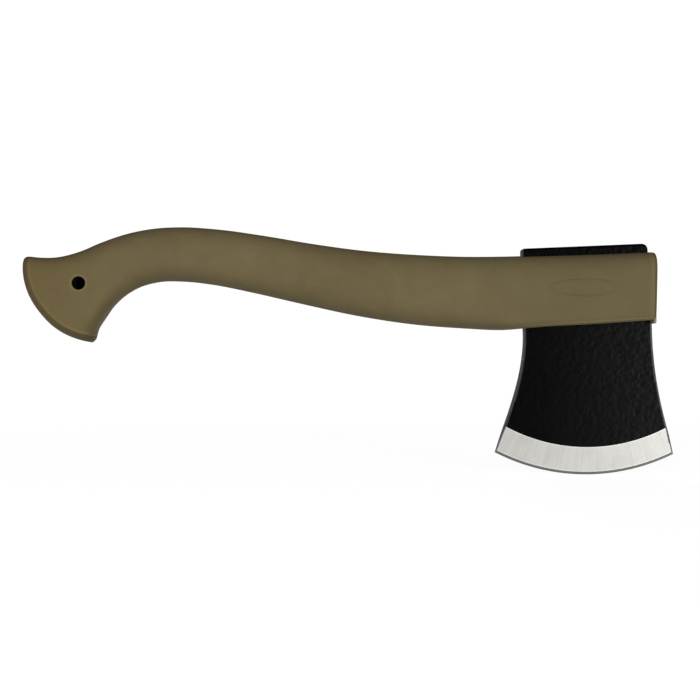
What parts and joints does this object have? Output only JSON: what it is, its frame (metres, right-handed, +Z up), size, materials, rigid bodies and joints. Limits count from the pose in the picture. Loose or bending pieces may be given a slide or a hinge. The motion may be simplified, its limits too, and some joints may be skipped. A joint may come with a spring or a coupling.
{
  "type": "camping hatchet",
  "caption": "Compact camping hatchet: a flat steel head with a flared ground edge, moulded into a curved olive polymer handle with a hooked butt and a lanyard hole.",
  "frame": {"origin": "under the middle of the hatchet's length, level with the lowest point of the cutting edge, in the middle of the steel plate's thickness", "axes": "+X along the handle from the butt to the head, +Y across the thickness to the left cheek, +Z up from the cutting edge to the poll"},
  "size_m": [0.3183, 0.028, 0.1215],
  "materials": {
    "coated_steel": "satin",
    "ground_steel": "satin",
    "olive_polymer": "matte"
  },
  "bodies": {
    "root": {"axe_head": "coated_steel", "handle": "olive_polymer"}
  },
  "joints": []
}
